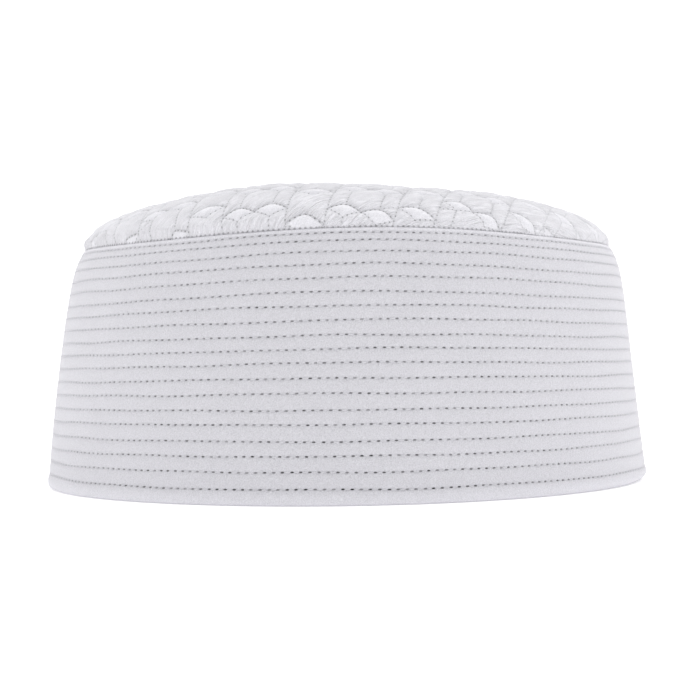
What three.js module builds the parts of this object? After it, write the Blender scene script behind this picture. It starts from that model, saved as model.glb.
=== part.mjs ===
// A kufi: a round, brimless cap with a padded side wall sewn in rows and a quilted, gently domed top.
// Millimetres, +Z up. The origin is under the middle of the rim, which rests on Z = 0, and the front
// of the cap faces -Y. A turn is an angle about +Z that starts at the front and goes towards +X.
import * as THREE from "three";

// The plan. The cap is nearly round: it is kept folded, so front and back stand out a little.
const RIM_RADIUS = 96;
const OVAL = 1.05;
const CORNER = 0.6;
const SKEW = -1.1;

// The side wall, called the band
const BAND_HEIGHT = 73.2;
const BAND_WALL = 3.2;
const BAND_TAPER = 7;
const TOP_TURN = 2.4;
const LEAN_SIDE = 1.7;
const LEAN_BACK = 1.5;
const GROOVE_DEPTH = 0.6;
const HEM_BULGE = 0.35;
const HEM_ROUND = 1.1;
const EDGE_RADIUS = RIM_RADIUS - BAND_TAPER - TOP_TURN;
const EDGE_WALL = 1.5;
const EDGE_ROUND = 0.4;

// The quilted top, called the crown. It starts over the band's top edge, and its skirt is tucked inside.
const CROWN_RISE = 17.7;
const CROWN_WALL = 2.4;
const SKIRT_DEPTH = 5.5;
const SKIRT_BEND = 1;
const FIT_GAP = 0.3;
const SKIRT_WALL = BAND_WALL - EDGE_WALL - FIT_GAP;

// The quilting: a lattice of hexagons, each parted from the next ones by diamonds
const CELL_SIDE = 5.62;
const PATTERN_TILT = -8.7;
const PATTERN_RIGHT = -2.4;
const PATTERN_BACK = -0.8;
const DIAMOND_PUFF = 1.1;
const HEXAGON_PUFF = 1.6;
const SEAM_EASE = 5;
const SEAM_CLEAR = 1.6;

// Steps round the cap
const SEGMENTS = 64;

// The rows of stitching, from the rim up: the height of each, as a share of the band's height
const STITCH_ROWS = [
  { height: 0.060 }, { height: 0.120 }, { height: 0.177 }, { height: 0.231 }, { height: 0.290 },
  { height: 0.343 }, { height: 0.399 }, { height: 0.454 }, { height: 0.509 }, { height: 0.560 },
  { height: 0.610 }, { height: 0.665 }, { height: 0.718 }, { height: 0.766 }, { height: 0.820 },
  { height: 0.869 }, { height: 0.916 }, { height: 0.956 }, { height: 0.986 },
];

// The rolled hem's outer face, from the rim up: out as a share of its bulge, up as a share of the
// height of the lowest row
const HEM_SECTIONS = [
  { out: 0.6, up: 0.175 },
  { out: 1, up: 0.55 },
];

// The crown's outline from its middle to the seam: out as a share of its radius, up as a share of its rise
const CROWN_SECTIONS = [
  { out: 0, up: 1 },
  { out: 0.295, up: 0.963 },
  { out: 0.541, up: 0.891 },
  { out: 0.689, up: 0.812 },
  { out: 0.736, up: 0.768 },
  { out: 0.807, up: 0.667 },
  { out: 0.868, up: 0.562 },
  { out: 0.913, up: 0.455 },
  { out: 0.947, up: 0.345 },
  { out: 0.969, up: 0.237 },
  { out: 0.987, up: 0.136 },
  { out: 1, up: 0 },
];

// How the taper and the turn at the top grow with height
const TAPER_POWER = 1.35;
const TURN_POWER = 16;

// The top edge of the cloth waves up and down round the cap: how often in one turn, and by how much
const EDGE_WAVES = [
  { times: 2, cosine: -0.45, sine: 0.18 },
  { times: 4, cosine: 0.6, sine: 0.21 },
];
const WAVE_LIFT_POWER = 2;
const WAVE_REACH_POWER = 4;

// The crown's underside rings, as shares of its way from the middle to the seam
const UNDERSIDE_RINGS = [0.2, 0.45, 0.65, 0.8, 0.9, 0.97];

// Where a point of the cap lies: radius is that of the round plan, before it is drawn out of round
function place(radius, height, turn) {
  const outOfRound = OVAL * Math.cos(2 * turn) + CORNER * Math.cos(4 * turn) + SKEW * Math.sin(2 * turn);
  const reach = radius * (1 + outOfRound / RIM_RADIUS);
  const lift = THREE.MathUtils.clamp(height / BAND_HEIGHT, 0, 1);
  const waves = EDGE_WAVES.map(({ times, cosine, sine }) => (
    cosine * Math.cos(times * turn) + sine * Math.sin(times * turn)
  ));
  const share = lift ** WAVE_LIFT_POWER * Math.min(radius / EDGE_RADIUS, 1) ** WAVE_REACH_POWER;
  return new THREE.Vector3(
    reach * Math.sin(turn) + LEAN_SIDE * lift,
    -reach * Math.cos(turn) + LEAN_BACK * lift,
    height + share * waves.reduce((sum, wave) => sum + wave, 0),
  );
}

// The band's outer face at a height, between its rows of stitching
function bandRadius(height) {
  const share = THREE.MathUtils.clamp(height / BAND_HEIGHT, 0, 1);
  return RIM_RADIUS - BAND_TAPER * share ** TAPER_POWER - TOP_TURN * share ** TURN_POWER;
}

// A closed body is gathered as points and triangles, and rings of points are sewn to each other
class Skin {
  constructor() {
    this.points = [];
    this.faces = [];
  }

  add(point) {
    this.points.push(point);
    return this.points.length - 1;
  }

  // One point for each step round the cap
  ring(pointAt) {
    return Array.from({ length: SEGMENTS }, (_, step) => {
      const turn = (step / SEGMENTS) * 2 * Math.PI;
      return { turn, index: this.add(pointAt(turn)) };
    });
  }

  triangle(a, b, c) {
    if (a !== b && b !== c && c !== a) this.faces.push([a, b, c]);
  }

  // Sews two rings together, step by step, whichever ring's next point comes first
  sew(first, second) {
    const at = (ring, step) => ring[step % ring.length];
    const turnAt = (ring, step) => at(ring, step).turn + (step >= ring.length ? 2 * Math.PI : 0);
    let i = 0;
    let j = 0;
    while (i < first.length || j < second.length) {
      const along = j >= second.length
        || (i < first.length && turnAt(first, i + 1) <= turnAt(second, j + 1));
      if (along) {
        this.triangle(at(first, i).index, at(first, i + 1).index, at(second, j).index);
        i += 1;
      } else {
        this.triangle(at(first, i).index, at(second, j + 1).index, at(second, j).index);
        j += 1;
      }
    }
  }

  // Closes a ring with a fan that faces down
  closeBelow(middle, ring) {
    ring.forEach((corner, step) => {
      this.triangle(middle, ring[(step + 1) % ring.length].index, corner.index);
    });
  }

  geometry() {
    const shape = new THREE.BufferGeometry().setFromPoints(this.points);
    shape.setIndex(this.faces.flat());
    shape.computeVertexNormals();
    return shape;
  }
}

// The band's section as a closed loop of radius and height: rim, outer face, top edge, inner face
function bandSection() {
  const ledge = BAND_HEIGHT - SKIRT_DEPTH - FIT_GAP;
  const inner = (height) => bandRadius(height) - BAND_WALL;
  const edgeInner = (height) => bandRadius(height) - EDGE_WALL;
  const rows = STITCH_ROWS.map((row) => row.height * BAND_HEIGHT);
  const hemTop = rows[0];
  const section = [
    { radius: RIM_RADIUS - HEM_ROUND, height: 0 },
    ...HEM_SECTIONS.map(({ out, up }) => ({ radius: RIM_RADIUS + HEM_BULGE * out, height: hemTop * up })),
  ];
  rows.forEach((height, row) => {
    section.push({ radius: bandRadius(height) - GROOVE_DEPTH, height });
    const next = row + 1 < rows.length ? rows[row + 1] : BAND_HEIGHT - EDGE_ROUND;
    const crest = (height + next) / 2;
    section.push({ radius: bandRadius(crest), height: crest });
  });
  section.push(
    { radius: EDGE_RADIUS - EDGE_ROUND, height: BAND_HEIGHT },
    { radius: edgeInner(BAND_HEIGHT) + EDGE_ROUND, height: BAND_HEIGHT },
    { radius: edgeInner(BAND_HEIGHT - EDGE_ROUND), height: BAND_HEIGHT - EDGE_ROUND },
    { radius: edgeInner(ledge), height: ledge },
    { radius: inner(ledge), height: ledge },
    { radius: inner(BAND_HEIGHT / 2), height: BAND_HEIGHT / 2 },
    { radius: inner(hemTop), height: hemTop },
    { radius: RIM_RADIUS - BAND_WALL, height: HEM_ROUND },
    { radius: RIM_RADIUS - BAND_WALL + HEM_ROUND, height: 0 },
  );
  return section;
}

function bandGeometry() {
  const skin = new Skin();
  const rings = bandSection().map(({ radius, height }) => skin.ring((turn) => place(radius, height, turn)));
  rings.forEach((ring, step) => skin.sew(ring, rings[(step + 1) % rings.length]));
  return skin.geometry();
}

// The crown's face before quilting. A point's way is its distance from the middle along the cloth.
const CROWN_RADIUS = EDGE_RADIUS - EDGE_ROUND;
const CROWN_FOOT = BAND_HEIGHT + FIT_GAP;
const crownOutline = new THREE.SplineCurve(
  CROWN_SECTIONS.map(({ out, up }) => new THREE.Vector2(out * CROWN_RADIUS, CROWN_FOOT + up * CROWN_RISE)),
);
const CROWN_WAY = crownOutline.getLength();

// A point of the crown, raised square to the cloth by a height of its own
function onCrown(way, turn, raised) {
  const share = THREE.MathUtils.clamp(way / CROWN_WAY, 0, 1);
  const middle = crownOutline.getPointAt(share);
  const along = crownOutline.getTangentAt(share);
  return place(middle.x - raised * along.y, middle.y + raised * along.x, turn);
}

// A point of the flat cloth: x to the right and y to the back, both from the middle of the crown
function latticePoint(i, j) {
  const step = CELL_SIDE * Math.sqrt(3);
  const tilt = THREE.MathUtils.degToRad(PATTERN_TILT);
  const along = new THREE.Vector2(step, 0).rotateAround(new THREE.Vector2(), tilt);
  const across = new THREE.Vector2(step, 0).rotateAround(new THREE.Vector2(), tilt + Math.PI / 3);
  return new THREE.Vector2(PATTERN_RIGHT, PATTERN_BACK).addScaledVector(along, i).addScaledVector(across, j);
}

const remainder = (number, whole) => ((number % whole) + whole) % whole;

// Every third triangle that hangs below its top corner is a hexagon, and every fourth hexagon is parted
// into three diamonds like the sides of a cube
const isHexagon = (i, j) => remainder(i - j, 3) === 2;
function isCube(i, j) {
  const column = (i - j - 2) / 3;
  return remainder(column, 2) === 1 && remainder(j + column, 2) === 0;
}

function middleOf(...corners) {
  return corners.reduce((sum, corner) => sum.add(corner), new THREE.Vector2()).divideScalar(corners.length);
}

// The cells of the quilting whose lattice point is i, j: each has its corners, leftward round, and its puff
function cellsAt(i, j) {
  const at = (right, up) => latticePoint(i + right, j + up);
  const upperRight = middleOf(at(0, 0), at(1, 0), at(0, 1));
  const top = middleOf(at(0, 0), at(0, 1), at(-1, 1));
  const upperLeft = middleOf(at(0, 0), at(-1, 0), at(-1, 1));
  const lowerLeft = middleOf(at(0, 0), at(-1, 0), at(0, -1));
  const middle = middleOf(at(0, 0), at(0, -1), at(1, -1));
  const lowerRight = middleOf(at(0, 0), at(1, -1), at(1, 0));
  const bottom = middleOf(at(0, -1), at(1, -1), at(1, -2));
  const outlines = [];
  if (!isHexagon(i, j + 1)) {
    outlines.push([at(0, 0), lowerRight, at(1, 0), upperRight]);
    outlines.push([at(0, 0), upperRight, at(0, 1), top]);
  }
  if (!isHexagon(i - 1, j + 1)) outlines.push([at(0, 0), top, at(-1, 1), upperLeft]);
  if (isHexagon(i, j) && isCube(i, j)) {
    outlines.push([middle, lowerRight, at(0, 0), lowerLeft]);
    outlines.push([middle, lowerLeft, at(0, -1), bottom]);
    outlines.push([middle, bottom, at(1, -1), lowerRight]);
  }
  const cells = outlines.map((corners) => ({ corners, puff: DIAMOND_PUFF }));
  if (isHexagon(i, j) && !isCube(i, j)) {
    const corners = [at(0, 0), lowerLeft, at(0, -1), bottom, at(1, -1), lowerRight];
    cells.push({ corners, puff: HEXAGON_PUFF });
  }
  return cells;
}

// The quilted face: a fan of triangles over each cell. A corner past the seam is drawn back to it.
// Returns the ring of points along the seam.
function quiltFace(skin) {
  const found = new Map();
  const corner = (flat, puff) => {
    const key = `${flat.x.toFixed(2)},${flat.y.toFixed(2)}`;
    if (!found.has(key)) {
      const turn = remainder(Math.atan2(flat.x, -flat.y), 2 * Math.PI);
      found.set(key, { turn, way: flat.length(), puff, index: null });
    }
    return found.get(key);
  };
  const isInside = ({ way }) => way < CROWN_WAY - SEAM_CLEAR;
  const indexOf = (point) => {
    if (point.index === null) {
      const ease = THREE.MathUtils.smoothstep(CROWN_WAY - point.way, 0, SEAM_EASE);
      const way = isInside(point) ? point.way : CROWN_WAY;
      point.index = skin.add(onCrown(way, point.turn, isInside(point) ? point.puff * ease : 0));
    }
    return point.index;
  };
  const reach = Math.ceil(CROWN_WAY / CELL_SIDE);
  for (let i = -reach; i <= reach; i += 1) {
    for (let j = -reach; j <= reach; j += 1) {
      for (const { corners, puff } of cellsAt(i, j)) {
        const middle = corner(middleOf(...corners), puff);
        const edge = corners.map((flat) => corner(flat, 0));
        edge.forEach((first, step) => {
          const second = edge[(step + 1) % edge.length];
          if ([middle, first, second].some(isInside)) {
            skin.triangle(indexOf(middle), indexOf(first), indexOf(second));
          }
        });
      }
    }
  }
  return [...found.values()]
    .filter((point) => point.index !== null && !isInside(point))
    .sort((first, second) => first.turn - second.turn);
}

// The skirt follows the inside of the band's turned edge, and leaves the cap's wall as thick as the band.
// At no depth and no thickness it meets the crown's lip, which lies over the edge.
function skirtRing(skin, depth, thickness) {
  const height = CROWN_FOOT - depth;
  const radius = bandRadius(height) - EDGE_WALL - FIT_GAP;
  return skin.ring((turn) => place(radius - thickness, height, turn));
}

function crownGeometry() {
  const skin = new Skin();
  const underside = UNDERSIDE_RINGS.map((share) => (
    skin.ring((turn) => onCrown(share * CROWN_WAY, turn, -CROWN_WALL))
  ));
  const middle = skin.add(onCrown(0, 0, -CROWN_WALL));
  skin.closeBelow(middle, underside[0]);
  const foot = SKIRT_DEPTH + FIT_GAP;
  const rings = [
    ...underside,
    skirtRing(skin, SKIRT_BEND, SKIRT_WALL),
    skirtRing(skin, foot, SKIRT_WALL),
    skirtRing(skin, foot, 0),
    skirtRing(skin, 0, 0),
    quiltFace(skin),
  ];
  rings.slice(1).forEach((ring, step) => skin.sew(rings[step], ring));
  return skin.geometry();
}

const cloth = (color, roughness) => new THREE.MeshStandardMaterial({ color, roughness, metalness: 0 });

const band = new THREE.Mesh(bandGeometry(), cloth(0xe4e3ea, 0.85));
band.name = "band";

const crown = new THREE.Mesh(crownGeometry(), cloth(0xececf1, 0.7));
crown.name = "crown";

const kufi = new THREE.Group();
kufi.add(band, crown);

export default kufi;
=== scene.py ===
import math

import bpy
import numpy as np
from mathutils import Euler, Matrix


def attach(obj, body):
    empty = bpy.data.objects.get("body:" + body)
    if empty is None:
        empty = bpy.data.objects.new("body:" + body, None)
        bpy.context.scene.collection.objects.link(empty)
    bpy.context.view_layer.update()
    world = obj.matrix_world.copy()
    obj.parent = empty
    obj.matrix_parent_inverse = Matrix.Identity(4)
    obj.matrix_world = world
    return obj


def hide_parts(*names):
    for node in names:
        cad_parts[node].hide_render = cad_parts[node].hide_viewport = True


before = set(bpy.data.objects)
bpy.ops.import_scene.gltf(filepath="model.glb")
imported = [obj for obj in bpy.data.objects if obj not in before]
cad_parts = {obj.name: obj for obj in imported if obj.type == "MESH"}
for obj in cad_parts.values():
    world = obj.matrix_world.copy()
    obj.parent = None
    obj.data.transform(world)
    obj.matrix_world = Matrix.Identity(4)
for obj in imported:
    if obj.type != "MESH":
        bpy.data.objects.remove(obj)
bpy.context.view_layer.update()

MM = 0.001
TAU = 2 * math.pi
rng = np.random.default_rng(7)

# The plan and the side wall, called the band, as the solids have them
RIM_RADIUS = 96.0
OVAL = 1.05
CORNER = 0.6
SKEW = -1.1
BAND_HEIGHT = 73.2
BAND_WALL = 3.2
BAND_TAPER = 7.0
TAPER_POWER = 1.35
TOP_TURN = 2.4
TURN_POWER = 16
LEAN_SIDE = 1.7
LEAN_BACK = 1.5
EDGE_RADIUS = RIM_RADIUS - BAND_TAPER - TOP_TURN
EDGE_WALL = 1.5
EDGE_ROUND = 0.4
EDGE_WAVES = [(2, -0.45, 0.18), (4, 0.6, 0.21)]
WAVE_LIFT_POWER = 2
WAVE_REACH_POWER = 4
FIT_GAP = 0.3
SKIRT_DEPTH = 5.5
HEM_ROUND = 1.1
ROW_SHARES = [
    0.060, 0.120, 0.177, 0.231, 0.290, 0.343, 0.399, 0.454, 0.509, 0.560,
    0.610, 0.665, 0.718, 0.766, 0.820, 0.869, 0.916, 0.956, 0.986,
]

# The stitching of the band: one row has as many stitches as the next
STITCHES = 252
STEPS_PER_STITCH = 3
GROOVE_DEPTH = 0.13
HOLE_DEPTH = 0.34
HOLE_STEEP = 2.8
PUCKER = 0.05
RIB_PUFF = 0.07
RIB_POWER = 0.75
INNER_GROOVE = 0.3
ROW_WANDER = 0.28
STITCH_THREAD = 0.15
WALL_WAVE = 0.3

# The band's foot stands out on the +X side: how far, how high before that fades, how high the hem's roll
# goes, and how soon it fades round the cap
FLARE = 2.4
FLARE_HEIGHT = 22.0
FLARE_ROLL = 4.0
FLARE_POWER = 4

# A rib's rings: the share of the way from its row to the next
RIB_STEPS = [0.1, 0.28, 0.58, 0.87]
INNER_RIB_STEPS = [0.5]

# The rolled hem's rings below the lowest row: height as a share of the row's, and how far out it stands
HEM_RINGS = [(0.0, -1.1), (0.05, -0.55), (0.15, 0.0), (0.32, 0.28), (0.55, 0.35), (0.78, 0.2), (0.93, -0.12)]

# The inner face's lowest rings: height, and how far out each stands
INNER_HEM_RINGS = [(3.0, 0.0), (HEM_ROUND, 0.0), (0.3, 0.35), (0.0, HEM_ROUND)]

# The turned top edge, from the highest row: height below the top, and how far out it stands. Its fold
# meets the crown.
EDGE_RINGS = [
    (1.0, 0.0), (0.45, 0.12), (0.05, 0.14), (-0.22, 0.0), (-0.3, -0.3), (-0.1, -0.6), (0.0, -1.1),
    (0.12, -1.38), (0.5, -1.5),
]

# The crown's outline, out and up as shares, and how far its padding lifts the cloth
CROWN_RISE = 17.7
CROWN_WALL = 2.4
CROWN_PAD = 1.0
CROWN_SECTIONS = [
    (0.0, 1.0), (0.295, 0.963), (0.541, 0.891), (0.689, 0.812), (0.736, 0.768), (0.807, 0.667),
    (0.868, 0.562), (0.913, 0.455), (0.947, 0.345), (0.969, 0.237), (0.987, 0.136), (1.0, 0.0),
]

# The quilting: its puffs, its pits where seams meet, and its stitches
DIAMOND_PUFF = 1.1
PANEL_PUFF = 0.85
PUFF_REACH = 1.25
PIT_DEPTH = 0.35
PIT_RADIUS = 0.9
SEAM_EASE = 3.0
SEAM_SOFT = 0.02
QUILT_STITCH = 1.35
QUILT_THREAD = 0.11
FIBRE_ANGLE = math.radians(37)

# The quilting is flatter by a share towards +X, from the first of these places across to the second
FLATTER = 0.55
FLATTER_FROM, FLATTER_TO = 35.0, 60.0

# The quilting is counted in half columns across the cloth and units up it. It repeats after 12 and 3 of them.
# It starts near the front, with the middle of a pair of diamonds.
PATTERN_AT = (-25.8, -81.0)
PATTERN_TILT = math.radians(-11.3)
NARROW = 4.67
WIDE = 5.5
UNIT = 5.14
REPEAT = np.array([12, 3])
SHEET = (-24, 24, -3, 39)

# Middles of a repeat's diamonds, and its upright seams: how far across, and where each starts and ends
DIAMONDS = [(-1, 0), (1, 0), (3, -1), (5, 0), (7, 0), (9, 1)]
UPRIGHTS = [
    (-2, 0, 3), (-1, 0.5, 2.5), (1, 0.5, 2.5), (2, 0, 3),
    (4, 0, 3), (5, 0.5, 2.5), (7, 0.5, 2.5), (8, 0, 3),
]

# Short seams that part a few of the cells further
SPLITS = [((-8, 2), (-7, 2.5)), ((10, 2), (11, 2.5)), ((7, 0.5), (8, 1)), ((9, 1.5), (9, 2.5))]

# Low swells of the crown: where each lies to the right and to the back, its half widths, and its height
CROWN_LUMPS = [
    (-23, -45, 20, 45, 0.8), (22, -45, 20, 45, -0.8), (10, 35, 30, 25, 0.5), (-45, 20, 22, 25, -0.5),
]

# The crown's mesh: steps to a half column on its two faces, then its skirt and its edges
FACE_STEPS = 6
UNDER_STEPS = 2
SKIRT_BEND = 1.0
SKIRT_STEPS = 256
UNDER_EDGE = 0.965
UNDER_DRAWN = 0.6
EDGE_CLEAR = 0.3
FAR_FROM_SEAMS = 9.0

# Colours, linear
BAND_COLOR = (0.655, 0.648, 0.688)
CROWN_COLOR = (0.722, 0.716, 0.755)
BAND_THREAD_COLOR = (0.67, 0.665, 0.70)
CROWN_THREAD_COLOR = (0.75, 0.75, 0.78)
FLOOR_COLOR = (0.95, 0.95, 0.95)

# Needle holes in the cloth: half their length and half their width. How dark they are is painted shade, for
# the shadow inside each hole. The constant for the sides is how dark those at the sides are, against the ones
# at the front.
BAND_HOLE = (0.6, 0.28)
QUILT_HOLE = (0.3, 0.26)
EDGE_HOLE = (0.45, 0.4)
BAND_HOLE_SHADE = 0.95
CROWN_HOLE_SHADE = 0.42
SIDE_HOLE_SHADE = 0.25
PALEST_HOLE_SHADE = 0.45
ROW_HOLE_SHADE_PALER = 0.02

# Fades: where each is nothing and where it is full. A hole's is counted in its half sizes, and those of the
# upper and upright seams in kinds of seam. The others are distances from a row, a seam, the rim or an edge.
HOLE_FADE = (1.1, 0.45)
ROW_FADE = (0.45, 0.1)
FLECK_HIGHLIGHT_FADE = (0.6, 0.1)
HEM_LIGHT_FADE = (4.2, 1.5)
RIM_LIGHT_FADE = (1.0, 0.1)
FOLD_HIGHLIGHT_FADE = (BAND_HEIGHT - 0.75, BAND_HEIGHT - 0.35)
SEAM_SHADE_FADE = (0.5, 0.1)
SHADE_FADE = (2.2, 0.1)
LOW_EDGE_LIGHT_FADE = (22.0, 4.0)
UPPER_FADE = (0.6, 0.2)
UPRIGHT_FADE = (1.3, 1.7)

# The cloth's finer grain: lengths in millimetres, and the scales of noises in waves to a millimetre.
# Flecks, partly a painted highlight on the rib just below each row, begin where their noise passes the first
# of FLECK_SHARES, and are full at the second.
STITCH_LENGTH = 2.35
EDGE_STITCH = 1.45
EDGE_ROW = 0.3
WEAVE_PITCH = 0.42
STRAND_PITCH = 0.36
FLECKS_BELOW = 0.45
FLECK_SHARES = (0.54, 0.66)
FIBRE_SCALES = (0.15, 3.3)
GRAIN_SCALE = 3.2
FLECK_SCALE = 2.4
BAND_LUMP_SCALE = 0.7
CROWN_LUMP_SCALE = 0.9
BAND_CLOUD_SCALE = 0.06
CROWN_CLOUD_SCALE = 0.08
FUZZ_SCALE = 5.0
SLOW_SCALE = 0.15

# How much lighter each part makes the cloth, or darker below 0, and how many millimetres it stands out
# In the band's light: line is painted shade along each row's groove, hem and rim are painted light low on the
# band, fold is a painted highlight on the top fold, and flecks are partly a painted highlight just below each
# row.
BAND_LIGHT = {
    "line": -0.03, "grain": 0.6, "cloud": 0.05, "threads": 0.02, "hem": 0.1, "rim": 0.1, "fold": 0.12,
    "flecks": 0.16,
}
BAND_DARKER = 0.03
BAND_RELIEF = {"line": -0.03, "grain": 0.22, "threads": 0.014, "lumps": 0.16, "flecks": 0.1}
BAND_HOLE_RELIEF = -0.16
# In the crown's light: line, upper_line, upright_line and shade are painted shade along and beside the seams,
# and low is painted light near the crown's low edge.
CROWN_LIGHT = {
    "line": -0.04, "upper_line": -0.18, "shade": -0.08, "panel": 0.045, "fibre": 0.7, "grain": 0.5,
    "cloud": 0.04, "strand": 0.02, "low": 0.1, "upright_line": -0.03,
}
CROWN_BASE_LIGHT = 0.965
CROWN_RELIEF = {"fibre": 0.8, "strand": 0.012, "lumps": 0.12, "grain": 0.12}
CROWN_HOLE_RELIEF = -0.12
DIAMOND_FIBRE = 0.3
THREAD_LIGHT = {"fuzz": 0.12, "slow": 0.1}
THREAD_BASE_LIGHT = 0.88
FUZZ_RELIEF = 0.05

# The stage, in metres and degrees, apart from the camera's roll in radians. The camera was fitted to the
# outline and the rows in the photograph.
FLOOR_HALF = 4.0
# The table's glow is painted light that softens the contact shadow under the cap.
TABLE_GLOW = 0.25
SENSOR = 36.0
LENS = 69.83
CAMERA_AT = (0.0, -0.450, 0.033)
PITCH = 1.2222
YAW = 0.2405
ROLL = -0.012
SKY_COLOR = (1.0, 1.0, 1.0)

# The surround's strength goes from the third of these to the fourth, between the first two places from front
# to back
SKY_RANGE = (-0.9, 0.5, 0.70, 1.30)

# Each lamp's name, place, width, power and colour
LAMPS = [
    ("top_lamp", (0.15, 0.10, 1.3), 1.1, 5.5, (1.0, 1.0, 1.0)),
]


# Shapes shared by the pieces

def band_radius(height):
    """The radius of the band's outer face at a height, before grooves and ribs."""
    share = np.clip(np.asarray(height, float) / BAND_HEIGHT, 0, 1)
    return RIM_RADIUS - BAND_TAPER * share**TAPER_POWER - TOP_TURN * share**TURN_POWER


def place(radius, height, turn):
    """Points of the cap, from the radius of the round plan before it is drawn out of round."""
    radius, height, turn = np.broadcast_arrays(radius, height, turn)
    out_of_round = OVAL * np.cos(2 * turn) + CORNER * np.cos(4 * turn) + SKEW * np.sin(2 * turn)
    reach = radius * (1 + out_of_round / RIM_RADIUS)
    lift = np.clip(height / BAND_HEIGHT, 0, 1)
    x = reach * np.sin(turn) + LEAN_SIDE * lift
    y = -reach * np.cos(turn) + LEAN_BACK * lift
    wave = sum(
        cosine * np.cos(times * turn) + sine * np.sin(times * turn) for times, cosine, sine in EDGE_WAVES
    )
    share = lift**WAVE_LIFT_POWER * np.minimum(radius / EDGE_RADIUS, 1)**WAVE_REACH_POWER
    return np.stack([x, y, height + share * wave], axis=-1)


def smooth(x):
    x = np.clip(x, 0, 1)
    return x * x * (3 - 2 * x)


def waves(turn, orders, seed):
    """A smooth random curve round the cap, mostly between -1 and 1."""
    draw = np.random.default_rng(seed)
    strengths = draw.uniform(0.4, 1.0, len(orders)) / math.sqrt(len(orders))
    phases = draw.uniform(0, TAU, len(orders))
    return sum(s * np.sin(order * turn + phase) for s, order, phase in zip(strengths, orders, phases))


# Meshes, gathered as points, faces and a value pair at each face corner for each map

class Skin:
    def __init__(self, *maps):
        self.points, self.faces, self.count = [], [], 0
        self.uvs = {name: [] for name in maps}

    def put(self, points):
        self.points.append(points)
        self.count += len(points)
        return np.arange(self.count - len(points), self.count)

    def face(self, corners, **maps):
        self.faces.append(corners)
        for name, values in maps.items():
            self.uvs[name].append(np.asarray(values).reshape(-1, 2))

    def made(self, name, material):
        maps = {key: np.concatenate(values) for key, values in self.uvs.items()}
        return mesh_object(name, np.concatenate(self.points), self.faces, material, maps)


def mesh_object(name, points, faces, material, maps):
    mesh = bpy.data.meshes.new(name)
    loops = np.concatenate([block.ravel() for block in faces]).astype(np.int32)
    sizes = np.concatenate([np.full(len(block), block.shape[1]) for block in faces]).astype(np.int32)
    starts = np.concatenate([[0], np.cumsum(sizes)[:-1]]).astype(np.int32)
    mesh.vertices.add(len(points))
    mesh.vertices.foreach_set("co", (points * MM).astype(np.float32).ravel())
    mesh.loops.add(len(loops))
    mesh.loops.foreach_set("vertex_index", loops)
    mesh.polygons.add(len(sizes))
    mesh.polygons.foreach_set("loop_start", starts)
    mesh.polygons.foreach_set("loop_total", sizes)
    mesh.polygons.foreach_set("use_smooth", np.ones(len(sizes), bool))
    mesh.update(calc_edges=True)
    for key, values in maps.items():
        mesh.uv_layers.new(name=key).data.foreach_set("uv", values.astype(np.float32).ravel())
    mesh.validate()
    mesh.materials.append(material)
    piece = bpy.data.objects.new(name, mesh)
    bpy.context.scene.collection.objects.link(piece)
    return piece


class Ring:
    """A ring of points on a skin. Its values run one step past its last point, to where it closes."""

    def __init__(self, skin, radius, height, turn, along):
        self.height, self.turn, self.along = np.broadcast_arrays(height, turn, along)
        self.index = skin.put(place(radius, height, turn)[:-1])


def steps_between(first, second):
    """The faces between two rings, as arrays of (ring, step) for each corner."""
    n, m = len(first.index), len(second.index)
    if n == m:
        step, none = np.arange(n), np.zeros(n, int)
        corners = [(none, step), (none, step + 1), (none + 1, step + 1), (none + 1, step)]
        return [np.stack(pair, axis=1) for pair in corners]
    faces = []
    i = j = 0
    while i < n or j < m:
        if j >= m or (i < n and first.turn[i + 1] <= second.turn[j + 1]):
            faces.append(((0, i), (0, i + 1), (1, j)))
            i += 1
        else:
            faces.append(((0, i), (1, j + 1), (1, j)))
            j += 1
    return list(np.array(faces).transpose(1, 0, 2))


def bridge(skin, first, second, **maps):
    """Sews two rings together. Each map is a function of a ring that gives a value pair for each step."""
    corners = steps_between(first, second)
    rings = (first, second)

    def gather(arrays):
        picked = [np.empty((len(c), *arrays[0].shape[1:]), arrays[0].dtype) for c in corners]
        for out, c in zip(picked, corners):
            for which in (0, 1):
                chosen = c[:, 0] == which
                out[chosen] = arrays[which][c[chosen, 1]]
        return np.stack(picked, axis=1)

    closed = [np.append(ring.index, ring.index[0]) for ring in rings]
    skin.face(gather(closed), **{name: gather([value(r) for r in rings]) for name, value in maps.items()})


# The rows of stitching. A row's stitches are counted along it, and whole numbers are needle holes. The
# cloth's map "stitch" has that count, and the distance from a row plus ROW_CODE times the row's number.

ROW_HEIGHTS = np.array(ROW_SHARES) * BAND_HEIGHT
ROWS = len(ROW_HEIGHTS)
ROW_CODE = 20.0
TOP_ROWS = 2
TOP_ROWS_WANDER = 0.6
ROW_PHASES = np.cumsum(rng.uniform(0.15, 0.5, ROWS) * rng.choice([-1, 1], ROWS))
HOLE_SHIFTS = rng.uniform(-0.07, 0.07, (ROWS, STITCHES))
HOLE_DEPTHS = rng.uniform(0.5, 1.0, (ROWS, STITCHES))


def row_turn(row, along):
    whole = np.floor(along).astype(int)
    part = along - whole
    shifts = HOLE_SHIFTS[row]
    shift = shifts[whole % STITCHES] * (1 - part) + shifts[(whole + 1) % STITCHES] * part
    return (along + ROW_PHASES[row] + shift) / STITCHES * TAU


def row_height(row, turn):
    room = TOP_ROWS_WANDER if row >= ROWS - TOP_ROWS else 1.0
    shared = waves(turn, [1, 2, 3, 5], 40)
    own = waves(turn, [2, 4, 7, 11, 17], 50 + row)
    return ROW_HEIGHTS[row] + ROW_WANDER * room * (0.6 * shared + 0.8 * own)


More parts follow.
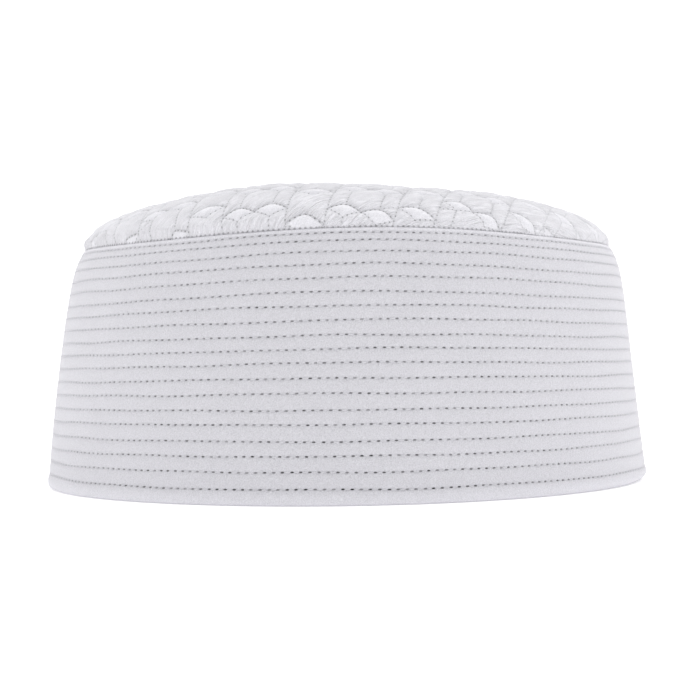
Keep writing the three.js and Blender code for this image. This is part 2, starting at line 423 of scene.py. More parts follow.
def groove_depth(row, along):
    """How far the cloth is drawn in along a row, which is most at its needle holes."""
    whole = np.round(along).astype(int)
    near = np.clip(1 - HOLE_STEEP * np.abs(along - whole), 0, 1)
    return GROOVE_DEPTH + HOLE_DEPTH * near * HOLE_DEPTHS[row][whole % STITCHES]


def flare(height, turn):
    """The foot of the wall stands out a little further on the +X side."""
    above_roll = smooth((height + 1) / FLARE_ROLL)
    return FLARE * above_roll * np.exp(-height / FLARE_HEIGHT) * np.maximum(np.sin(turn), 0) ** FLARE_POWER


def wall_wave(height, turn):
    """The padded wall isn't a true surface of revolution: it swells and sinks a little."""
    share = height / BAND_HEIGHT
    single = waves(turn, [3, 5, 8], 11) * np.sin(math.pi * share)
    double = waves(turn, [4, 7, 13], 12) * np.sin(TAU * share)
    return WALL_WAVE * (single + double) + flare(height, turn)


def rib_height(row, step, turn):
    """Height at a share of the way from a row to the next one, or to the top edge past the last row."""
    if row + 1 < ROWS:
        return row_height(row, turn) * (1 - step) + row_height(row + 1, turn) * step
    return row_height(row, turn) * (1 - step) + BAND_HEIGHT * step


def outer_rings(skin, along):
    """The band's outer face from the rim up, as pairs of a ring and the rows it is measured from."""
    rings = []
    turn = row_turn(0, along)
    for share, out in HEM_RINGS:
        height = row_height(0, turn) * share
        rings.append((Ring(skin, RIM_RADIUS + out + flare(height, turn), height, turn, along), 0))
    for row in range(ROWS):
        turn = row_turn(row, along)
        height = row_height(row, turn)
        wave = wall_wave(height, turn)
        radius = band_radius(height) - groove_depth(row, along) + wave
        rings.append((Ring(skin, radius, height, turn, along), row))
        if row + 1 == ROWS:
            break
        next_turn = row_turn(row + 1, along)
        for step in RIB_STEPS:
            turn = row_turn(row, along) * (1 - step) + next_turn * step
            height = rib_height(row, step, turn)
            puff = np.sin(math.pi * step) ** RIB_POWER * (GROOVE_DEPTH + RIB_PUFF) - GROOVE_DEPTH
            pucker = PUCKER * np.cos(TAU * along) * (1 - np.sin(math.pi * step))
            radius = band_radius(height) + puff - pucker + wall_wave(height, turn)
            rings.append((Ring(skin, radius, height, turn, along), row if step < 0.5 else row + 1))
    top = ROWS - 1
    turn = row_turn(top, along)
    for below, out in EDGE_RINGS:
        room = BAND_HEIGHT - row_height(top, turn)
        height = BAND_HEIGHT - np.minimum(below, 0.6 * room)
        rings.append((Ring(skin, band_radius(height) + out, height, turn, along), top))
    return rings


def inner_rings(skin, along):
    """The band's inner face from under the turned edge down to the rim. The stitching shows there too."""
    ledge = BAND_HEIGHT - SKIRT_DEPTH - FIT_GAP
    turn = row_turn(ROWS - 1, along)
    rings = [
        (Ring(skin, band_radius(ledge) - EDGE_WALL, ledge, turn, along), ROWS - 1),
        (Ring(skin, band_radius(ledge) - BAND_WALL, ledge, turn, along), ROWS - 1),
    ]
    highest = int(np.sum(ROW_HEIGHTS < ledge - INNER_GROOVE)) - 1
    for row in range(highest, -1, -1):
        for step in reversed(INNER_RIB_STEPS) if row < highest else []:
            turn = row_turn(row, along) * (1 - step) + row_turn(row + 1, along) * step
            height = rib_height(row, step, turn)
            radius = band_radius(height) - BAND_WALL + wall_wave(height, turn)
            rings.append((Ring(skin, radius, height, turn, along), row if step < 0.5 else row + 1))
        turn = row_turn(row, along)
        height = row_height(row, turn)
        drawn = INNER_GROOVE * groove_depth(row, along) / GROOVE_DEPTH
        radius = band_radius(height) - BAND_WALL + drawn + wall_wave(height, turn)
        rings.append((Ring(skin, radius, height, turn, along), row))
    for height, out in INNER_HEM_RINGS:
        radius = RIM_RADIUS - BAND_WALL + out + flare(height, turn)
        rings.append((Ring(skin, radius, height, turn, along), 0))
    return rings


def band_mesh(material):
    skin = Skin("stitch", "cloth")
    outer_along = np.arange(STITCHES * STEPS_PER_STITCH + 1) / STEPS_PER_STITCH
    inner_along = np.arange(STITCHES * STEPS_PER_STITCH // 2 + 1) * 2 / STEPS_PER_STITCH
    rings = outer_rings(skin, outer_along) + inner_rings(skin, inner_along)
    for (first, row), (second, _) in zip(rings, rings[1:] + rings[:1]):

        def stitch(ring, row=row):
            away = ring.height - row_height(row, ring.turn)
            return np.stack([ring.along, np.clip(away, -9, 9) + ROW_CODE * row], axis=1)

        def cloth(ring):
            return np.stack([ring.turn * RIM_RADIUS, ring.height], axis=1)

        bridge(skin, first, second, stitch=stitch, cloth=cloth)
    return skin.made("band_cloth", material)


def tubes(name, material, paths, outward, sideways, widths, sides):
    """Short closed tubes, one for each stitch. Each path has a tube's points, and widths the radius at each
    point but the first and last, where the tube comes to its ends."""
    count, rings = len(paths), len(widths)
    spin = np.arange(sides) / sides * TAU
    around = np.cos(spin)[:, None] * outward[:, None, None] + np.sin(spin)[:, None] * sideways[:, None, None]
    walls = paths[:, 1:-1, None] + np.array(widths)[None, :, None, None] * around
    points = np.concatenate([paths[:, :1], walls.reshape(count, rings * sides, 3), paths[:, -1:]], axis=1)
    side = np.arange(sides)
    after = (side + 1) % sides
    last = 1 + (rings - 1) * sides
    ends = np.concatenate([
        np.stack([np.zeros(sides, int), 1 + after, 1 + side], axis=1),
        np.stack([np.full(sides, 1 + rings * sides), last + side, last + after], axis=1),
    ])
    quads = np.concatenate([
        1 + k * sides + np.stack([side, after, after + sides, side + sides], axis=1) for k in range(rings - 1)
    ])
    offset = (np.arange(count) * points.shape[1])[:, None, None]
    faces = [(ends[None] + offset).reshape(-1, 3), (quads[None] + offset).reshape(-1, 4)]
    return mesh_object(name, points.reshape(-1, 3), faces, material, {})


def band_threads(material):
    """The stitches of every row: each dips into the needle hole at its two ends."""
    shares = np.array([0.15, 0.22, 0.38, 0.62, 0.78, 0.85])
    depths = np.array([-0.34, -0.06, 0.1, 0.1, -0.06, -0.34])
    slant = np.array([-0.1, -0.08, -0.03, 0.03, 0.08, 0.1])
    draw = np.random.default_rng(31)
    paths, outward = [], []
    for row in range(ROWS):
        start = np.arange(STITCHES)[:, None]
        turn = row_turn(row, start + shares[None])
        skew = draw.normal(1.0, 0.5, (STITCHES, 1)) * slant[None]
        height = row_height(row, turn) + skew
        lift = draw.uniform(-0.04, 0.04, (STITCHES, 1))
        radius = band_radius(height) - GROOVE_DEPTH + depths[None] + lift + wall_wave(height, turn)
        paths.append(place(radius, height, turn))
        middle = turn.mean(axis=1)
        outward.append(np.stack([np.sin(middle), -np.cos(middle), 0 * middle], axis=1))
    outward = np.concatenate(outward)
    up = np.tile([0.0, 0.0, 1.0], (len(outward), 1))
    widths = STITCH_THREAD * np.array([0.85, 1.0, 1.0, 0.85])
    return tubes("band_stitches", material, np.concatenate(paths), outward, up, widths, 5)


# The crown before quilting. A point's way is its distance from the middle along the cloth.

CROWN_RADIUS = EDGE_RADIUS - EDGE_ROUND
CROWN_FOOT = BAND_HEIGHT + FIT_GAP
SKIRT_WALL = BAND_WALL - EDGE_WALL - FIT_GAP


def outline_samples(steps):
    """The crown's outline as a smooth curve through its sections: radius and height."""
    knots = np.array(CROWN_SECTIONS) * [CROWN_RADIUS, CROWN_RISE] + [0, CROWN_FOOT]
    padded = np.concatenate([knots[:1], knots, knots[-1:]])
    samples = []
    for k in range(len(knots) - 1):
        before, start, end, after = padded[k:k + 4]
        t = (np.arange(steps) / steps)[:, None]
        leave, reach = (end - before) / 2, (after - start) / 2
        samples.append((2 * start - 2 * end + leave + reach) * t**3
                       + (3 * end - 3 * start - 2 * leave - reach) * t**2 + leave * t + start)
    return np.concatenate([*samples, knots[-1:]])


OUTLINE = outline_samples(200)
OUTLINE_WAY = np.concatenate([[0], np.cumsum(np.hypot(*np.diff(OUTLINE, axis=0).T))])
CROWN_WAY = OUTLINE_WAY[-1]
OUTLINE_SLOPE = np.gradient(OUTLINE, OUTLINE_WAY, axis=0)


def on_crown(flat, raised):
    """Points of the crown from their places on the flat cloth, each raised square to it by its own height."""
    way = np.hypot(flat[..., 0], flat[..., 1])
    turn = np.arctan2(flat[..., 0], -flat[..., 1])
    radius, height, out, up = (
        np.interp(way, OUTLINE_WAY, values) for values in (*OUTLINE.T, *OUTLINE_SLOPE.T)
    )
    return place(radius - raised * up, height + raised * out, turn)


def swells(flat):
    """How far the padding lifts the cloth before quilting."""
    x, y = flat[..., 0], flat[..., 1]
    return CROWN_PAD + sum(
        rise * np.exp(-((x - right) / wide) ** 2 - ((y - back) / long) ** 2)
        for right, back, wide, long, rise in CROWN_LUMPS
    )


# The quilting: columns of long cells with small diamonds between them. Seams are of three kinds: below a
# diamond, above it, and upright. Across, four narrow half columns and two wide ones make a run.

LOWER, UPPER, UPRIGHT = 0, 1, 2
RUN = 6
RUN_MARKS = [-2, 2, 4]
RUN_PLACES = [-2 * NARROW, 2 * NARROW, 2 * NARROW + 2 * WIDE]
RUN_WIDTH = 4 * NARROW + 2 * WIDE


def sheet(where):
    """Millimetres on the quilted sheet, from half columns across and units up."""
    across, up = where[..., 0], where[..., 1]
    run = np.floor((across - RUN_MARKS[0]) / RUN)
    x = np.interp(across - RUN * run, RUN_MARKS, RUN_PLACES)
    return np.stack([x + run * RUN_WIDTH, up * UNIT], axis=-1)


def laid(where):
    """The place on the crown's flat cloth."""
    at = sheet(where)
    cos, sin = math.cos(PATTERN_TILT), math.sin(PATTERN_TILT)
    turned = [at[..., 0] * cos - at[..., 1] * sin, at[..., 0] * sin + at[..., 1] * cos]
    return np.stack(turned, axis=-1) + PATTERN_AT


def seams_of_repeat():
    seams = []
    for across, up in DIAMONDS:
        left, right, low, high = (across - 1, up), (across + 1, up), (across, up - 0.5), (across, up + 0.5)
        seams += [(left, low, LOWER), (low, right, LOWER), (left, high, UPPER), (high, right, UPPER)]
    return seams + [((across, foot), (across, head), UPRIGHT) for across, foot, head in UPRIGHTS]


def all_seams():
    """Every seam of the sheet: starts, ends and kinds."""
    left, right, low, high = SHEET
    starts, ends, kinds = [], [], []
    for a in range(left, right, REPEAT[0]):
        for b in range(low, high, REPEAT[1]):
            for start, end, kind in seams_of_repeat():
                starts.append((start[0] + a, start[1] + b))
                ends.append((end[0] + a, end[1] + b))
                kinds.append(kind)
    for start, end in SPLITS:
        starts.append(start)
        ends.append(end)
        kinds.append(LOWER)
    return np.array(starts, float), np.array(ends, float), np.array(kinds)


SEAM_START, SEAM_END, SEAM_KIND = all_seams()
SEAM_LENGTH = np.linalg.norm(sheet(SEAM_END) - sheet(SEAM_START), axis=-1)
SEAM_STITCHES = np.maximum(np.round(SEAM_LENGTH / QUILT_STITCH), 1)
NODES = np.unique(np.concatenate([SEAM_START, SEAM_END]), axis=0)
SEAM_REACH = np.array([1.2, 1.8])


def seam_offsets(where, seams):
    """Distances in millimetres from seams, and shares of the way along them."""
    at, start = sheet(where), sheet(SEAM_START[seams])
    span = sheet(SEAM_END[seams]) - start
    share = np.clip(np.sum((at - start) * span, axis=-1) / np.sum(span**2, axis=-1), 0, 1)
    return np.linalg.norm(at - start - share[..., None] * span, axis=-1), share


def survey(where):
    """For each place: how full the quilting is there, how close a pit is, and the nearest seam."""
    tile = np.floor(where / REPEAT)
    middles = (SEAM_START + SEAM_END) / 2
    full, pit, nearest = np.empty(len(where)), np.empty(len(where)), np.empty(len(where), int)
    for one in np.unique(tile, axis=0):
        here = np.all(tile == one, axis=1)
        low, high = one * REPEAT - SEAM_REACH, (one + 1) * REPEAT + SEAM_REACH
        seams = np.flatnonzero(np.all((middles > low) & (middles < high), axis=1))
        nodes = NODES[np.all((NODES > low) & (NODES < high), axis=1)]
        off, _ = seam_offsets(where[here][:, None], seams[None])
        softened = np.sum((off + SEAM_SOFT) ** -4.0, axis=1) ** -0.25
        full[here] = 1 - np.exp(-softened / PUFF_REACH)
        nearest[here] = seams[np.argmin(off, axis=1)]
        apart = np.sum((sheet(where[here])[:, None] - sheet(nodes)[None]) ** 2, axis=-1)
        pit[here] = np.sum(np.exp(-apart / PIT_RADIUS**2), axis=1)
    return full, np.minimum(pit, 1), nearest


def in_diamond(where):
    """1 for places inside a diamond, and 0 for places in the larger cells."""
    found = np.zeros(where.shape[:-1])
    for middle in DIAMONDS:
        apart = np.abs(np.mod(where - middle + REPEAT / 2, REPEAT) - REPEAT / 2)
        found = np.maximum(found, (apart[..., 0] + 2 * apart[..., 1] < 1).astype(float))
    return found


class QuiltEdge:
    """The points along the edge of a quilted sheet, as a ring to sew to."""

    def __init__(self, index, turn):
        order = np.argsort(turn)
        self.index = index[order]
        self.turn = np.append(turn[order], turn[order][0] + TAU)
        self.height = np.full(len(self.turn), CROWN_FOOT)


def sheet_grid(steps, edge_way):
    """A grid of places over the crown, as places and triangles. Diagonal seams run along triangles' sides."""
    left, right, low, high = SHEET
    across = np.arange(left * steps, right * steps + 1) / steps
    up = np.arange(low * 2 * steps, high * 2 * steps + 1) / (2 * steps)
    where = np.stack(np.meshgrid(across, up, indexing="ij"), axis=-1)
    inside = np.linalg.norm(laid(where), axis=-1) < edge_way - EDGE_CLEAR
    number = np.arange(inside.size).reshape(inside.shape)
    a, b, c, d = number[:-1, :-1], number[1:, :-1], number[1:, 1:], number[:-1, 1:]
    kept = inside[:-1, :-1] | inside[1:, :-1] | inside[1:, 1:] | inside[:-1, 1:]
    a, b, c, d = (corner[kept] for corner in (a, b, c, d))
    places = where.reshape(-1, 2)
    _, _, nearest = survey((places[a] + places[c]) / 2)
    span = SEAM_END[nearest] - SEAM_START[nearest]
    falls = (span[:, 0] * span[:, 1] < 0)[:, None]
    first = np.where(falls, np.stack([a, b, d], axis=1), np.stack([a, b, c], axis=1))
    second = np.where(falls, np.stack([b, c, d], axis=1), np.stack([a, c, d], axis=1))
    used, triangles = np.unique(np.concatenate([first, second]), return_inverse=True)
    return places[used], triangles.reshape(-1, 3), inside.ravel()[used]


def quilt(skin, steps, edge_way, raise_at, faces_up):
    """Covers the crown out to edge_way and gives back its edge. Points past the edge are drawn back to it."""
    places, triangles, inside = sheet_grid(steps, edge_way)
    full, pit, _ = survey(places)
    flat = laid(places)
    flatter = 1 - FLATTER * smooth((flat[:, 0] - FLATTER_FROM) / (FLATTER_TO - FLATTER_FROM))
    puff = flatter * (PANEL_PUFF + (DIAMOND_PUFF - PANEL_PUFF) * in_diamond(places))
    way = np.hypot(*flat.T)
    points = flat * np.where(inside, 1, edge_way / np.maximum(way, 1e-6))[:, None]
    index = skin.put(on_crown(points, raise_at(points, puff, full, pit)))
    corners = triangles if faces_up else triangles[:, ::-1]
    at = places[corners]
    middles = at.mean(axis=1)
    _, _, nearest = survey(middles)
    off, share = seam_offsets(at, nearest[:, None])
    kinds = np.stack([in_diamond(middles), SEAM_KIND[nearest]], axis=-1)
    cos, sin = math.cos(FIBRE_ANGLE), math.sin(FIBRE_ANGLE)
    along = flat[corners]
    x, y = along[..., 0], along[..., 1]
    fibre = np.stack([x * cos + y * sin, y * cos - x * sin], axis=-1)
    round_way = np.arctan2(x, -y) * CROWN_RADIUS / EDGE_STITCH
    edge = np.stack([CROWN_WAY - np.hypot(x, y), round_way], axis=-1)
    skin.face(
        index[corners],
        seam=np.stack([off, share * SEAM_STITCHES[nearest][:, None]], axis=-1),
        cell=np.repeat(kinds[:, None], 3, axis=1),
        edge=edge if faces_up else edge + FAR_FROM_SEAMS,
        fibre=fibre,
    )
    turn = np.arctan2(points[~inside, 0], -points[~inside, 1]) % TAU
    return QuiltEdge(index[~inside], turn)


def crown_face(points, puff, full, pit):
    ease = smooth((CROWN_WAY - np.hypot(*points.T)) / SEAM_EASE)
    return (swells(points) + puff * full - PIT_DEPTH * pit) * ease


def crown_underside(points, puff, full, pit):
    """The underside is drawn towards the seams, and the puffs and pits of the face don't reach it."""
    ease = smooth((CROWN_WAY - np.hypot(*points.T)) / SEAM_EASE)
    return swells(points) * ease - CROWN_WALL + UNDER_DRAWN * (1 - full)


def skirt_ring(skin, depth, thickness):
    height = CROWN_FOOT - depth
    turn = np.arange(SKIRT_STEPS + 1) / SKIRT_STEPS * TAU
    radius = float(band_radius(height)) - EDGE_WALL - FIT_GAP - thickness
    return Ring(skin, radius, height, turn, turn)


def crown_mesh(material):
    skin = Skin("seam", "cell", "edge", "fibre")
    face_edge = quilt(skin, FACE_STEPS, CROWN_WAY, crown_face, True)
    under_edge = quilt(skin, UNDER_STEPS, UNDER_EDGE * CROWN_WAY, crown_underside, False)
    foot = SKIRT_DEPTH + FIT_GAP
    rings = [
        under_edge,
        skirt_ring(skin, SKIRT_BEND, SKIRT_WALL),
        skirt_ring(skin, foot, SKIRT_WALL),
        skirt_ring(skin, foot, 0),
        skirt_ring(skin, 0, 0),
        face_edge,
    ]

    def far(ring):
        return np.stack([np.full(len(ring.turn), FAR_FROM_SEAMS), 0 * ring.turn], axis=1)

    def plain(ring):
        return np.zeros((len(ring.turn), 2))

    def fibre(ring):
        return np.stack([ring.turn * CROWN_RADIUS, ring.height], axis=1)

    for first, second in zip(rings, rings[1:]):
        bridge(skin, first, second, seam=far, cell=plain, edge=far, fibre=fibre)
    return skin.made("crown_cloth", material)


def crown_threads(material):
    """The quilting stitches along the seams."""
    shares = np.array([0.12, 0.3, 0.7, 0.88])
    heights = np.array([-0.2, 0.05, 0.05, -0.2])
    places = np.concatenate([
        start + (end - start) * ((np.arange(count)[:, None] + shares) / count)[..., None]
        for start, end, count in zip(SEAM_START, SEAM_END, SEAM_STITCHES)
    ])
    flat = laid(places)
    kept = np.all(np.hypot(flat[..., 0], flat[..., 1]) < CROWN_WAY - EDGE_CLEAR, axis=1)
    places, flat = places[kept], flat[kept]
    _, pit, _ = survey(places.reshape(-1, 2))
    ease = smooth((CROWN_WAY - np.hypot(flat[..., 0], flat[..., 1])) / SEAM_EASE)
    raised = (swells(flat) - PIT_DEPTH * pit.reshape(-1, len(shares))) * ease + heights
    paths = on_crown(flat, raised)
    middle = flat.mean(axis=1)
    up = on_crown(middle, np.ones(len(middle))) - on_crown(middle, np.zeros(len(middle)))
    side = np.cross(paths[:, 2] - paths[:, 1], up)
    side /= np.linalg.norm(side, axis=1)[:, None]
    return tubes("crown_stitches", material, paths, side, up, [QUILT_THREAD, QUILT_THREAD], 4)


# Materials

class Shader:
    """A material's node tree, with short calls for its nodes."""

    def __init__(self, name):
        self.material = bpy.data.materials.new(name)
        self.material.use_nodes = True
        self.tree = self.material.node_tree
        self.surface = self.tree.nodes["Principled BSDF"]

    def set(self, **values):
        for name, value in values.items():
            self.feed(self.surface.inputs[name.replace("_", " ")], value)

    def feed(self, socket, value):
        if isinstance(value, bpy.types.NodeSocket):
            self.tree.links.new(value, socket)
        else:
            socket.default_value = value

    def node(self, kind, *inputs, **settings):
        made = self.tree.nodes.new(kind)
        for name, value in settings.items():
            setattr(made, name, value)
        for socket, value in zip(made.inputs, inputs):
            self.feed(socket, value)
        return made

    def math(self, operation, *inputs):
        return self.node("ShaderNodeMath", *inputs, operation=operation).outputs[0]

    def added(self, value, parts, strengths):
        """A value with each of the parts added to it, at that part's strength."""
        for name, strength in strengths.items():
            value = self.math("ADD", value, self.math("MULTIPLY", parts[name], strength))
        return value

    def grain(self, place_mm):
        return self.math("SUBTRACT", self.noise(place_mm, GRAIN_SCALE, 3.0), 0.5)

    def ramp(self, value, start, end):
        """0 at start and 1 at end, smoothly between."""
        made = self.tree.nodes.new("ShaderNodeMapRange")
        made.interpolation_type = "SMOOTHSTEP"
        self.feed(made.inputs["Value"], value)
        self.feed(made.inputs["From Min"], start)
        self.feed(made.inputs["From Max"], end)
        return made.outputs["Result"]

    def uv(self, name):
        pair = self.node("ShaderNodeUVMap", uv_map=name).outputs[0]
        split = self.node("ShaderNodeSeparateXYZ", pair)
        return split.outputs[0], split.outputs[1]

    def vector(self, x, y, z=0.0):
        return self.node("ShaderNodeCombineXYZ", x, y, z).outputs[0]

    def noise(self, vector, scale, detail=2.0):
        made = self.tree.nodes.new("ShaderNodeTexNoise")
        self.feed(made.inputs["Vector"], vector)
        self.feed(made.inputs["Scale"], scale)
        self.feed(made.inputs["Detail"], detail)
        return made.outputs["Fac"]

    def place(self):
        """A point's place on the object, in millimetres."""
        found = self.tree.nodes.new("ShaderNodeTexCoord").outputs["Object"]
        to_mm = (1 / MM, 1 / MM, 1 / MM)
        return self.node("ShaderNodeVectorMath", found, to_mm, operation="MULTIPLY").outputs[0]

    def bump(self, height_mm):
        made = self.tree.nodes.new("ShaderNodeBump")
        self.feed(made.inputs["Distance"], MM)
        self.feed(made.inputs["Height"], height_mm)
        self.set(Normal=made.outputs["Normal"])

    def tint(self, color, light):
        """A colour, made lighter or darker by a factor."""
        made = self.node("ShaderNodeVectorMath", color, operation="SCALE")
        self.feed(made.inputs["Scale"], light)
        self.set(Base_Color=made.outputs[0])


def nearest_hole(shader, along, stitch):
    """The number of the nearest needle hole, and the distance from it in millimetres."""
    hole = shader.math("FLOOR", shader.math("ADD", along, 0.5))
    return hole, shader.math("MULTIPLY", shader.math("SUBTRACT", along, hole), stitch)


def needle_hole(shader, off, past, half_sizes):
    """1 in the middle of a needle hole. off is the distance from its row, and past from the hole along it."""
    x = shader.math("DIVIDE", past, half_sizes[0])
    y = shader.math("DIVIDE", off, half_sizes[1])
    squares = shader.math("ADD", shader.math("MULTIPLY", x, x), shader.math("MULTIPLY", y, y))
    return shader.ramp(shader.math("SQRT", squares), *HOLE_FADE)


def weave(shader, x, y, pitch):
    """A plain weave, from -1 to 1."""
    turns = TAU / pitch
    over = shader.math("SINE", shader.math("MULTIPLY", x, turns))
    under = shader.math("SINE", shader.math("MULTIPLY", y, turns))
    return shader.math("MULTIPLY", over, under)


def hole_shade(shader, along, hole, row):
    """How dark the painted shade of a needle hole of the band is, for the shadow inside it. It goes by
    chance, and is less at the sides and higher up.
    """
    spot = shader.vector(hole, row)
    chance = shader.node("ShaderNodeTexWhiteNoise", spot, noise_dimensions="2D").outputs["Value"]
    dark = shader.math("ADD", shader.math("MULTIPLY", chance, 1 - PALEST_HOLE_SHADE), PALEST_HOLE_SHADE)
    facing = shader.math("COSINE", shader.math("MULTIPLY", along, TAU / STITCHES))
    facing = shader.math("MULTIPLY", facing, facing)
    ends = shader.math("ADD", shader.math("MULTIPLY", facing, 1 - SIDE_HOLE_SHADE), SIDE_HOLE_SHADE)
    lower = shader.math("SUBTRACT", 1.0, shader.math("MULTIPLY", row, ROW_HOLE_SHADE_PALER))
    return shader.math("MULTIPLY", shader.math("MULTIPLY", dark, ends), lower)


def band_material():
    """Matte cotton, with painted shade in the needle holes and along the rows, pale flecks under them that
    are partly a painted highlight, and painted light at the hem, the rim and the top fold.
    """
    shader = Shader("band_cloth")
    along, coded = shader.uv("stitch")
    row = shader.math("FLOOR", shader.math("DIVIDE", shader.math("ADD", coded, ROW_CODE / 2), ROW_CODE))
    off = shader.math("SUBTRACT", coded, shader.math("MULTIPLY", row, ROW_CODE))
    hole, past = nearest_hole(shader, along, STITCH_LENGTH)
    dot = needle_hole(shader, off, past, BAND_HOLE)
    dark = shader.math("MULTIPLY", dot, hole_shade(shader, along, hole, row))
    beside = shader.math("ABSOLUTE", shader.math("ADD", off, FLECKS_BELOW))
    x, y = shader.uv("cloth")
    place_mm = shader.place()
    flecks = shader.ramp(shader.noise(place_mm, FLECK_SCALE), *FLECK_SHARES)
    parts = {
        # The line is painted shade along each row's groove, and also a slight dent.
        "line": shader.ramp(shader.math("ABSOLUTE", off), *ROW_FADE),
        "grain": shader.grain(place_mm),
        "cloud": shader.noise(place_mm, BAND_CLOUD_SCALE, 3.0),
        "threads": weave(shader, x, y, WEAVE_PITCH),
        # Painted light: the band is lighter over its lowest few millimetres, where the hem faces down and
        # out.
        "hem": shader.ramp(y, *HEM_LIGHT_FADE),
        # Painted light: the band's bottom millimetre is lighter still, to soften the dark contact line at the
        # floor.
        "rim": shader.ramp(y, *RIM_LIGHT_FADE),
        # Painted highlight along the turned top edge, where its rounding catches the light.
        "fold": shader.ramp(y, *FOLD_HIGHLIGHT_FADE),
        # Pale flecks in a strip just below each row: partly raised relief, and partly a painted highlight
        # where the rib below faces up.
        "flecks": shader.math("MULTIPLY", flecks, shader.ramp(beside, *FLECK_HIGHLIGHT_FADE)),
        "lumps": shader.noise(place_mm, BAND_LUMP_SCALE),
    }
    # Painted shade: each needle hole darkens the cloth's colour, for the shadow inside it.
    light = shader.math("SUBTRACT", 1.0, shader.math("MULTIPLY", dark, BAND_HOLE_SHADE))
    light = shader.added(light, parts, BAND_LIGHT)
    shader.tint(BAND_COLOR, shader.math("SUBTRACT", light, BAND_DARKER))
    shader.bump(shader.added(shader.math("MULTIPLY", dot, BAND_HOLE_RELIEF), parts, BAND_RELIEF))
    shader.set(Roughness=0.88, Sheen_Weight=0.2, Sheen_Roughness=0.5)
    return shader.material


def crown_holes(shader, off, along):
    """The needle holes of the quilting, and those of the row along the crown's edge, as a mask for their
    painted shade and their dents.
    """
    _, past = nearest_hole(shader, along, QUILT_STITCH)
    quilted = needle_hole(shader, off, past, QUILT_HOLE)
    from_edge, round_edge = shader.uv("edge")
    _, past = nearest_hole(shader, round_edge, EDGE_STITCH)
    from_row = shader.math("SUBTRACT", from_edge, EDGE_ROW)
    return shader.math("MAXIMUM", quilted, needle_hole(shader, from_row, past, EDGE_HOLE))


def satin_fibre(shader, x, y, panel):
    """Fine streaks along the cloth's threads, weaker on the diamonds than on the panels."""
    stretched = shader.vector(
        shader.math("MULTIPLY", x, FIBRE_SCALES[0]), shader.math("MULTIPLY", y, FIBRE_SCALES[1])
    )
    streaks = shader.math("SUBTRACT", shader.noise(stretched, 1.0, 3.0), 0.5)
    strength = shader.math("ADD", shader.math("MULTIPLY", panel, 1 - DIAMOND_FIBRE), DIAMOND_FIBRE)
    return shader.math("MULTIPLY", streaks, strength)


def crown_material():
    """Soft cotton with a faint satin sheen. Its seams carry painted shade, darkest above diamonds, where a
    puffed diamond hides the valley behind it, and fainter towards +X, and its low edge is painted lighter.
    """
    shader = Shader("crown_cloth")
    off, along = shader.uv("seam")
    diamond, kind = shader.uv("cell")
    from_edge, _ = shader.uv("edge")
    x, y = shader.uv("fibre")
    place_mm = shader.place()
    panel = shader.math("SUBTRACT", 1.0, diamond)
    from_upper = shader.math("ABSOLUTE", shader.math("SUBTRACT", kind, float(UPPER)))
    upper = shader.ramp(from_upper, *UPPER_FADE)
    upright = shader.ramp(kind, *UPRIGHT_FADE)
    to_right = shader.node("ShaderNodeSeparateXYZ", place_mm).outputs[0]
    flatter = shader.math("MULTIPLY", shader.ramp(to_right, FLATTER_FROM, FLATTER_TO), FLATTER)
    clear = shader.math("SUBTRACT", 1.0, flatter)
    dot = shader.math("MULTIPLY", crown_holes(shader, off, along), clear)
    line = shader.math("MULTIPLY", shader.ramp(off, *SEAM_SHADE_FADE), clear)
    shaded = shader.math("MULTIPLY", panel, upper)
    parts = {
        # Painted shade along the seams, most above the diamonds, and in the panels beside those seams.
        "line": line,
        "upper_line": shader.math("MULTIPLY", line, upper),
        "upright_line": shader.math("MULTIPLY", line, upright),
        "shade": shader.math("MULTIPLY", shader.ramp(off, *SHADE_FADE), shaded),
        "panel": panel,
        "fibre": satin_fibre(shader, x, y, panel),
        "grain": shader.grain(place_mm),
        "cloud": shader.noise(place_mm, CROWN_CLOUD_SCALE, 3.0),
        "strand": shader.math("SINE", shader.math("MULTIPLY", y, TAU / STRAND_PITCH)),
        # Painted light: the crown is lighter near its low edge, where it faces forward and gets less of the
        # light from above.
        "low": shader.ramp(from_edge, *LOW_EDGE_LIGHT_FADE),
        "lumps": shader.noise(place_mm, CROWN_LUMP_SCALE),
    }
    # Painted shade: each needle hole darkens the cloth's colour, for the shadow inside it.
    light = shader.math("SUBTRACT", CROWN_BASE_LIGHT, shader.math("MULTIPLY", dot, CROWN_HOLE_SHADE))
    shader.tint(CROWN_COLOR, shader.added(light, parts, CROWN_LIGHT))
    shader.bump(shader.added(shader.math("MULTIPLY", dot, CROWN_HOLE_RELIEF), parts, CROWN_RELIEF))
    shader.set(Roughness=0.6, Sheen_Weight=0.3, Sheen_Roughness=0.4)
    return shader.material


def thread_material(name, color):
    """Spun cotton thread: a fine twist and a little fuzz."""
    shader = Shader(name)
    place_mm = shader.place()
    parts = {"fuzz": shader.noise(place_mm, FUZZ_SCALE), "slow": shader.noise(place_mm, SLOW_SCALE)}
    shader.tint(color, shader.added(THREAD_BASE_LIGHT, parts, THREAD_LIGHT))
    shader.bump(shader.math("MULTIPLY", parts["fuzz"], FUZZ_RELIEF))
    shader.set(Roughness=0.7, Sheen_Weight=0.2, Sheen_Roughness=0.5)
    return shader.material


def floor_material():
    """A white table that glows a little, a painted light that softens the cap's contact shadow on it."""
    shader = Shader("floor")
    place_mm = shader.place()
    cloud = shader.noise(place_mm, 0.01, 2.0)
    shader.tint(FLOOR_COLOR, shader.math("ADD", shader.math("MULTIPLY", cloud, 0.01), 0.99))
    shader.set(Roughness=0.9, Emission_Color=(1, 1, 1, 1), Emission_Strength=TABLE_GLOW)
    return shader.material


# The cap

band = band_mesh(band_material())
crown = crown_mesh(crown_material())
band_stitches = band_threads(thread_material("band_thread", BAND_THREAD_COLOR))
crown_stitches = crown_threads(thread_material("crown_thread", CROWN_THREAD_COLOR))

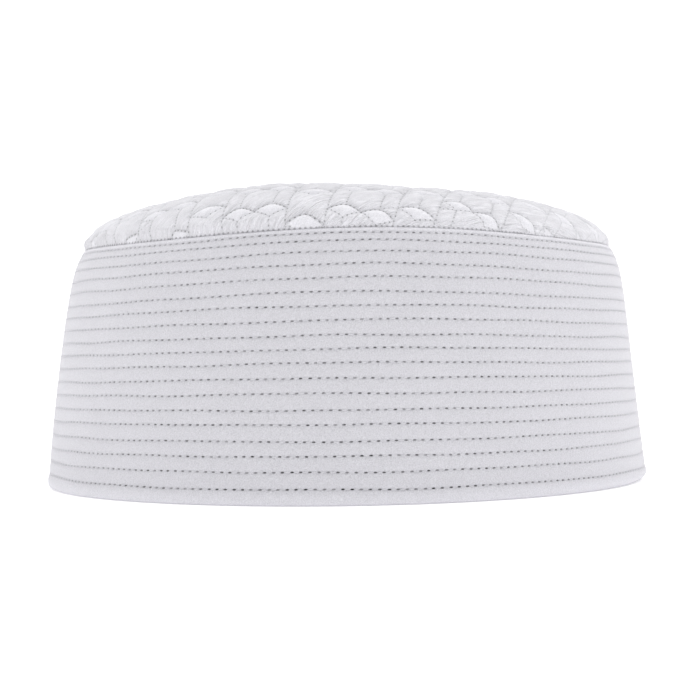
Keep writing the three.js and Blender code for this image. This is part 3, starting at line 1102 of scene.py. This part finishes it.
for piece, slot in (
    (band, "band_cloth"), (band_stitches, "band_cloth"),
    (crown, "crown_cloth"), (crown_stitches, "crown_cloth"),
):
    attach(piece, "root")
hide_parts("band")
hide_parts("crown")


# The floor, the light and the camera

def floor():
    mesh = bpy.data.meshes.new("floor")
    half = FLOOR_HALF
    corners = [(-half, -half, 0), (half, -half, 0), (half, half, 0), (-half, half, 0)]
    mesh.from_pydata(corners, [], [(0, 1, 2, 3)])
    mesh.materials.append(floor_material())
    made = bpy.data.objects.new("floor", mesh)
    bpy.context.scene.collection.objects.link(made)


def sky():
    """A white surround, darker towards the camera's side, where a light tent has its opening."""
    world = bpy.data.worlds.new("surround")
    world.use_nodes = True
    tree = world.node_tree
    background = tree.nodes["Background"]
    direction = tree.nodes.new("ShaderNodeTexCoord").outputs["Generated"]
    split = tree.nodes.new("ShaderNodeSeparateXYZ")
    tree.links.new(direction, split.inputs[0])
    front = tree.nodes.new("ShaderNodeMapRange")
    front.interpolation_type = "SMOOTHSTEP"
    tree.links.new(split.outputs[1], front.inputs["Value"])
    for name, value in zip(("From Min", "From Max", "To Min", "To Max"), SKY_RANGE):
        front.inputs[name].default_value = value
    tree.links.new(front.outputs["Result"], background.inputs["Strength"])
    background.inputs["Color"].default_value = (*SKY_COLOR, 1)
    bpy.context.scene.world = world


def lamp(name, at, size, power, color):
    data = bpy.data.lights.new(name, "AREA")
    data.shape = "DISK"
    data.size = size
    data.energy = power
    data.color = color
    made = bpy.data.objects.new(name, data)
    made.location = at
    made.rotation_euler = (-made.location).to_track_quat("-Z", "Y").to_euler()
    bpy.context.scene.collection.objects.link(made)


def camera():
    data = bpy.data.cameras.new("camera")
    data.sensor_width = SENSOR
    data.lens = LENS
    data.clip_start, data.clip_end = 0.01, 100
    made = bpy.data.objects.new("camera", data)
    made.location = CAMERA_AT
    level = Euler((math.radians(90 + PITCH), 0, math.radians(-YAW))).to_matrix()
    made.rotation_euler = (level @ Matrix.Rotation(ROLL, 3, "Z")).to_euler()
    bpy.context.scene.collection.objects.link(made)
    bpy.context.scene.camera = made


floor()
sky()
for settings in LAMPS:
    lamp(*settings)
camera()
bpy.context.scene.view_settings.view_transform = "Standard"
